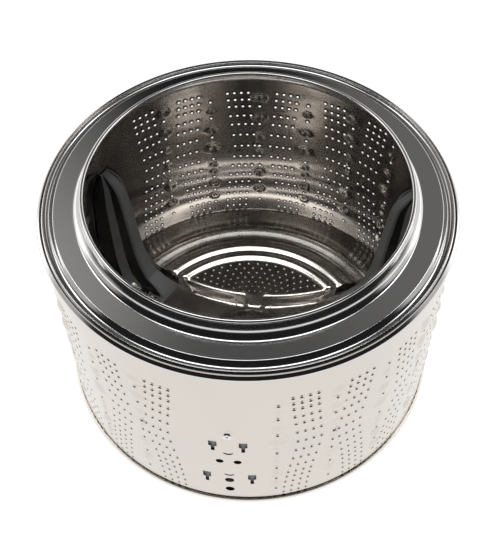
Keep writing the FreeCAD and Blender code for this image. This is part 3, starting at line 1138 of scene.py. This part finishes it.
@dataclass
class LifterSet:
    """Moulded paddles with glossy flanks and a matte crest band, one at each lifter's place."""

    sections: tuple[Section, ...] = (
        Section(-2.6, 146.5, 40.5, 15.5), Section(3.0, 149.0, 40.5, 15.0),
        Section(9.0, 155.0, 40.0, 14.0), Section(14.0, 166.0, 40.0, 12.8),
        Section(20.0, 178.0, 39.5, 11.8), Section(38.0, 188.5, 39.0, 10.8),
        Section(61.0, 196.0, 37.5, 10.2), Section(106.0, 202.5, 35.0, 9.6),
        Section(151.0, 209.0, 31.0, 9.0), Section(172.0, 212.5, 27.0, 8.6),
        Section(183.0, 216.0, 23.0, 8.2), Section(191.0, 223.0, 18.5, 7.4),
        Section(197.5, 232.0, 13.5, 6.4), Section(201.0, 240.0, 9.5, 5.0),
    )

    def outline(self, section: Section) -> list[Vector]:
        """Draws one cross-section on the +X axis.

        Args:
            section: the cross-section's sizes.

        Returns:
            Its corners, from wall to wall round the crest.
        """
        wall = math.sqrt(244.6 ** 2 - section.foot ** 2)
        deep = wall - section.crest_r
        spread = section.foot - section.crest
        half = [(wall, section.foot),
                (section.crest_r + deep * 0.55, section.crest + spread * 0.60),
                (section.crest_r + deep * 0.38, section.crest + spread * 0.22),
                (section.crest_r + min(3.5, deep * 0.2), section.crest),
                (section.crest_r, section.crest - 2.0)]
        near = [(x, -y) for x, y in half]
        far = [(x, y) for x, y in half[::-1]]
        return [Vector((x * MM, y * MM, SEAM_Z + section.z * MM)) for x, y in near + far]

    def build(self, flank: Moulded, crest: Moulded) -> list[bpy.types.Object]:
        """Models one paddle and stands a copy of it at each lifter's place.

        Args:
            flank: the glossy side faces' finish.
            crest: the crest band's finish.

        Returns:
            The lifters.
        """
        pattern = self.model(flank.material(), crest.material())
        paddles = []
        for number in range(1, LIFTERS + 1):
            paddle = pattern.copy()
            paddle.data = pattern.data.copy()
            paddle.name = paddle.data.name = f"lifter_paddle_{number}"
            bpy.context.collection.objects.link(paddle)
            paddle.data.transform(Matrix.Rotation(FIRST_LIFTER + (number - 1) * LIFTER_PITCH, 4, "Z"))
            settle(paddle, 28.0)
            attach(paddle, "drum")
            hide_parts(f"lifter_{number}")
            LOG.info("%s: %d faces", paddle.name, len(paddle.data.polygons))
            paddles.append(paddle)
        bpy.data.objects.remove(pattern)
        return paddles

    def model(self, flank: bpy.types.Material, crest: bpy.types.Material) -> bpy.types.Object:
        """Extrudes the paddle from section to section on the +X axis.

        Args:
            flank: the side faces' material.
            crest: the crest band's material.

        Returns:
            The dressed paddle.
        """
        paddle = draw_line("lifter_pattern", self.outline(self.sections[0]))
        go(Mode.EDIT)
        bpy.ops.mesh.select_all(action="SELECT")
        bpy.ops.mesh.edge_face_add()
        for section in self.sections[1:]:
            bpy.ops.mesh.extrude_region()
            self.place_ring(paddle, self.outline(section))
        bpy.ops.mesh.select_all(action="SELECT")
        bpy.ops.mesh.normals_make_consistent(inside=False)
        go(Mode.OBJECT)
        self.dress(paddle, flank, crest)
        apply_modifier(paddle, "BEVEL", width=1.2 * MM, segments=2, limit_method="ANGLE",
                       angle_limit=math.radians(24))
        return paddle

    def place_ring(self, paddle: bpy.types.Object, corners: list[Vector]) -> None:
        """Moves the ring that was just extruded to the corners of its section.

        Args:
            paddle: the lifter, in edit mode.
            corners: where the ring's vertices go, in drawing order.
        """
        mesh = bmesh.from_edit_mesh(paddle.data)
        top = [face for face in mesh.faces if face.select][0]
        ring = [loop.vert for loop in top.loops]
        start = max(range(len(ring)), key=lambda i: (round(ring[i].co.x, 5), -ring[i].co.y))
        ring = ring[start:] + ring[:start]
        if ring[1].co.y > 0 and ring[1].co.x > 0.24:
            ring = [ring[0]] + ring[:0:-1]
        for vertex, corner in zip(ring, corners):
            vertex.co = corner
        bmesh.update_edit_mesh(paddle.data)

    def dress(self, paddle: bpy.types.Object, flank: bpy.types.Material,
              crest: bpy.types.Material) -> None:
        """Gives the crest band and the flanks their materials.

        Args:
            paddle: the lifter, standing on the +X axis.
            flank: the side faces' material.
            crest: the band's material.
        """
        paddle.data.materials.append(flank)
        paddle.data.materials.append(crest)
        heights = [section.z for section in self.sections]
        crests = [section.crest for section in self.sections]
        feet = [section.foot for section in self.sections]
        for face in paddle.data.polygons:
            z = (face.center.z - SEAM_Z) / MM
            crest_y, foot_y = np.interp(z, heights, crests), np.interp(z, heights, feet)
            share = (abs(face.center.y) / MM - crest_y) / (foot_y - crest_y)
            face.material_index = 1 if share < 0.05 or 0.25 < share < 0.52 else 0


# ---- drive parts that keep their CAD shape ---------------------------------------------
class DriveParts:
    """The castings, shaft, bearings and fixings behind the drum."""

    def dress(self, palette: Palette) -> None:
        """Gives each remaining node its finish.

        Args:
            palette: the drum's finishes.
        """
        bright, zinc = palette.bright.material(), palette.zinc.material()
        looks = {
            "lifter_screws": bright, "spider": palette.cast.material(), "spider_bolts": zinc,
            "spider_washers": zinc, "nut_plates": zinc, "shaft": bright,
            "seal_sleeve": palette.brass.material(), "shaft_seal": palette.rubber.material(),
            "bearing_hub": palette.iron.material(),
        }
        for name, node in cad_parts.items():
            look = looks.get(name, bright if "bearing" in name else None)
            if look is None:
                continue
            node.data.materials.clear()
            node.data.materials.append(look)
            LOG.info("%s: %s", name, look.name)


# ---- studio ----------------------------------------------------------------------------
@dataclass(frozen=True)
class Glow:
    """A soft patch of light on the room's walls."""

    toward: tuple[float, float, float]
    edge: float
    core: float
    strength: float

    def add_to(self, wiring: Wiring, direction: bpy.types.NodeSocket,
               total: bpy.types.NodeSocket) -> bpy.types.NodeSocket:
        """Adds the patch to the room's brightness.

        Args:
            wiring: the world's nodes.
            direction: the direction looked at.
            total: the brightness so far.

        Returns:
            The new brightness.
        """
        toward = Vector(self.toward).normalized()
        facing = wiring.add("ShaderNodeVectorMath", {0: direction, 1: toward}, operation="DOT_PRODUCT")
        feeds = {"From Min": self.edge, "From Max": self.core, "To Max": self.strength,
                 "Value": facing.outputs["Value"]}
        patch = wiring.add("ShaderNodeMapRange", feeds, interpolation_type="SMOOTHSTEP")
        feeds = {0: total, 1: patch.outputs["Result"]}
        return wiring.add("ShaderNodeMath", feeds, operation="ADD").outputs["Value"]


@dataclass
class Studio:
    """Camera, floor, sky and soft lights."""

    lens: float = 61.3
    eye: tuple[float, float, float] = (0.0, -756.2, 1144.8)
    aim: tuple[float, float, float] = (-3.3, 0.0, 145.0)
    roll_deg: float = -1.09
    overhead: float = 0.015
    glows: tuple[Glow, ...] = (
        Glow((0.0, 0.66, 0.75), 0.50, 0.87, 0.07),
        Glow((-0.28, 0.62, 0.72), 0.965, 0.995, 0.26),
        Glow((0.22, 0.66, 0.70), 0.965, 0.995, 0.08),
        Glow((-0.087, 0.75, 0.66), 0.980, 0.996, -0.16),
        Glow((0.72, 0.66, 0.12), 0.82, 0.94, 1.1),
        Glow((-0.72, 0.66, 0.12), 0.82, 0.94, 1.1),
        Glow((0.97, 0.14, 0.15), 0.90, 0.97, 0.6),
        Glow((-0.97, 0.14, 0.15), 0.90, 0.97, 0.5),
    )

    def build(self) -> None:
        """Sets up the whole studio."""
        self.camera()
        self.floor()
        self.sky()
        self.softbox("left_softbox", (-1.3, 0.5, 1.9), (0.8, 0.8), 5.0)
        self.softbox("right_softbox", (1.3, 0.5, 1.9), (0.8, 0.8), 5.0)
        self.softbox("top_softbox", (0.0, 0.0, 2.4), (1.8, 0.9), 13.0)

    def camera(self) -> None:
        """Places the camera above the front of the drum."""
        data = bpy.data.cameras.new("camera")
        data.lens = self.lens
        data.clip_end = 50.0
        camera = bpy.data.objects.new("camera", data)
        bpy.context.collection.objects.link(camera)
        lift = Vector((0, 0, SEAM_Z))
        eye, aim = Vector(self.eye) * MM + lift, Vector(self.aim) * MM + lift
        look = (aim - eye).to_track_quat("-Z", "Y").to_matrix().to_4x4()
        roll = Matrix.Rotation(math.radians(self.roll_deg), 4, "Z")
        camera.matrix_world = Matrix.Translation(eye) @ look @ roll
        bpy.context.scene.camera = camera

    def floor(self) -> None:
        """Lays a pale floor under the drum, clear from below so that the underside can be seen."""
        bpy.ops.object.select_all(action="DESELECT")
        bpy.ops.mesh.primitive_plane_add(size=14.0, location=(0, 0, cad_low[2] - 2 * MM))
        floor = newest("floor")
        made = bpy.data.materials.new("floor_white")
        made.use_nodes = True
        shader = made.node_tree.nodes["Principled BSDF"]
        shader.inputs["Base Color"].default_value = (0.12, 0.12, 0.12, 1.0)
        shader.inputs["Roughness"].default_value = 0.9
        shader.inputs["Emission Color"].default_value = (1.0, 1.0, 1.0, 1.0)
        shader.inputs["Emission Strength"].default_value = 0.97
        wiring = Wiring(made.node_tree)
        underside = wiring.add("ShaderNodeNewGeometry").outputs["Backfacing"]
        clear = wiring.add("ShaderNodeBsdfTransparent").outputs["BSDF"]
        sided = wiring.add("ShaderNodeMixShader", {"Fac": underside, 1: shader.outputs["BSDF"], 2: clear})
        surface = made.node_tree.nodes["Material Output"].inputs["Surface"]
        made.node_tree.links.new(sided.outputs["Shader"], surface)
        floor.data.materials.append(made)

    def sky(self) -> None:
        """A room that is white below the horizon, dim overhead and has a few soft glows."""
        world = bpy.data.worlds.new("room")
        bpy.context.scene.world = world
        world.use_nodes = True
        wiring = Wiring(world.node_tree)
        direction = wiring.add("ShaderNodeTexCoord").outputs["Generated"]
        height = wiring.add("ShaderNodeSeparateXYZ", {"Vector": direction}).outputs["Z"]
        feeds = {"From Min": -0.02, "From Max": 0.10, "To Min": 1.0, "To Max": self.overhead,
                 "Value": height}
        total = wiring.add("ShaderNodeMapRange", feeds).outputs["Result"]
        for glow in self.glows:
            total = glow.add_to(wiring, direction, total)
        background = world.node_tree.nodes["Background"]
        background.inputs["Color"].default_value = (1.0, 0.985, 0.97, 1.0)
        least = wiring.add("ShaderNodeMath", {0: total, 1: 0.01}, operation="MAXIMUM")
        world.node_tree.links.new(least.outputs["Value"], background.inputs["Strength"])

    def softbox(self, name: str, place: tuple[float, float, float], size: Point, power: float) -> None:
        """Hangs a rectangular soft light that faces the drum.

        Args:
            name: the light's name.
            place: where it hangs, in metres.
            size: its width and depth, in metres.
            power: its power, in watts.
        """
        data = bpy.data.lights.new(name, "AREA")
        data.shape = "RECTANGLE"
        data.size, data.size_y = size
        data.energy = power
        light = bpy.data.objects.new(name, data)
        bpy.context.collection.objects.link(light)
        light.location = place
        target = Vector((0, 0, SEAM_Z + 0.15))
        light.rotation_euler = (target - Vector(place)).to_track_quat("-Z", "Y").to_euler()


def main() -> None:
    """Builds the drum and its studio."""
    logging.basicConfig(level=logging.INFO, format="%(name)s %(message)s")
    bpy.context.scene.view_settings.view_transform = "Standard"
    palette = Palette()
    Studio().build()
    FrontRing().build(palette.ring)
    RearPlate().build(palette.plate)
    PunchedShell().build(palette.shell, palette.inside)
    LifterSet().build(palette.flank, palette.crest)
    DriveParts().dress(palette)


if __name__ == "__main__":
    main()
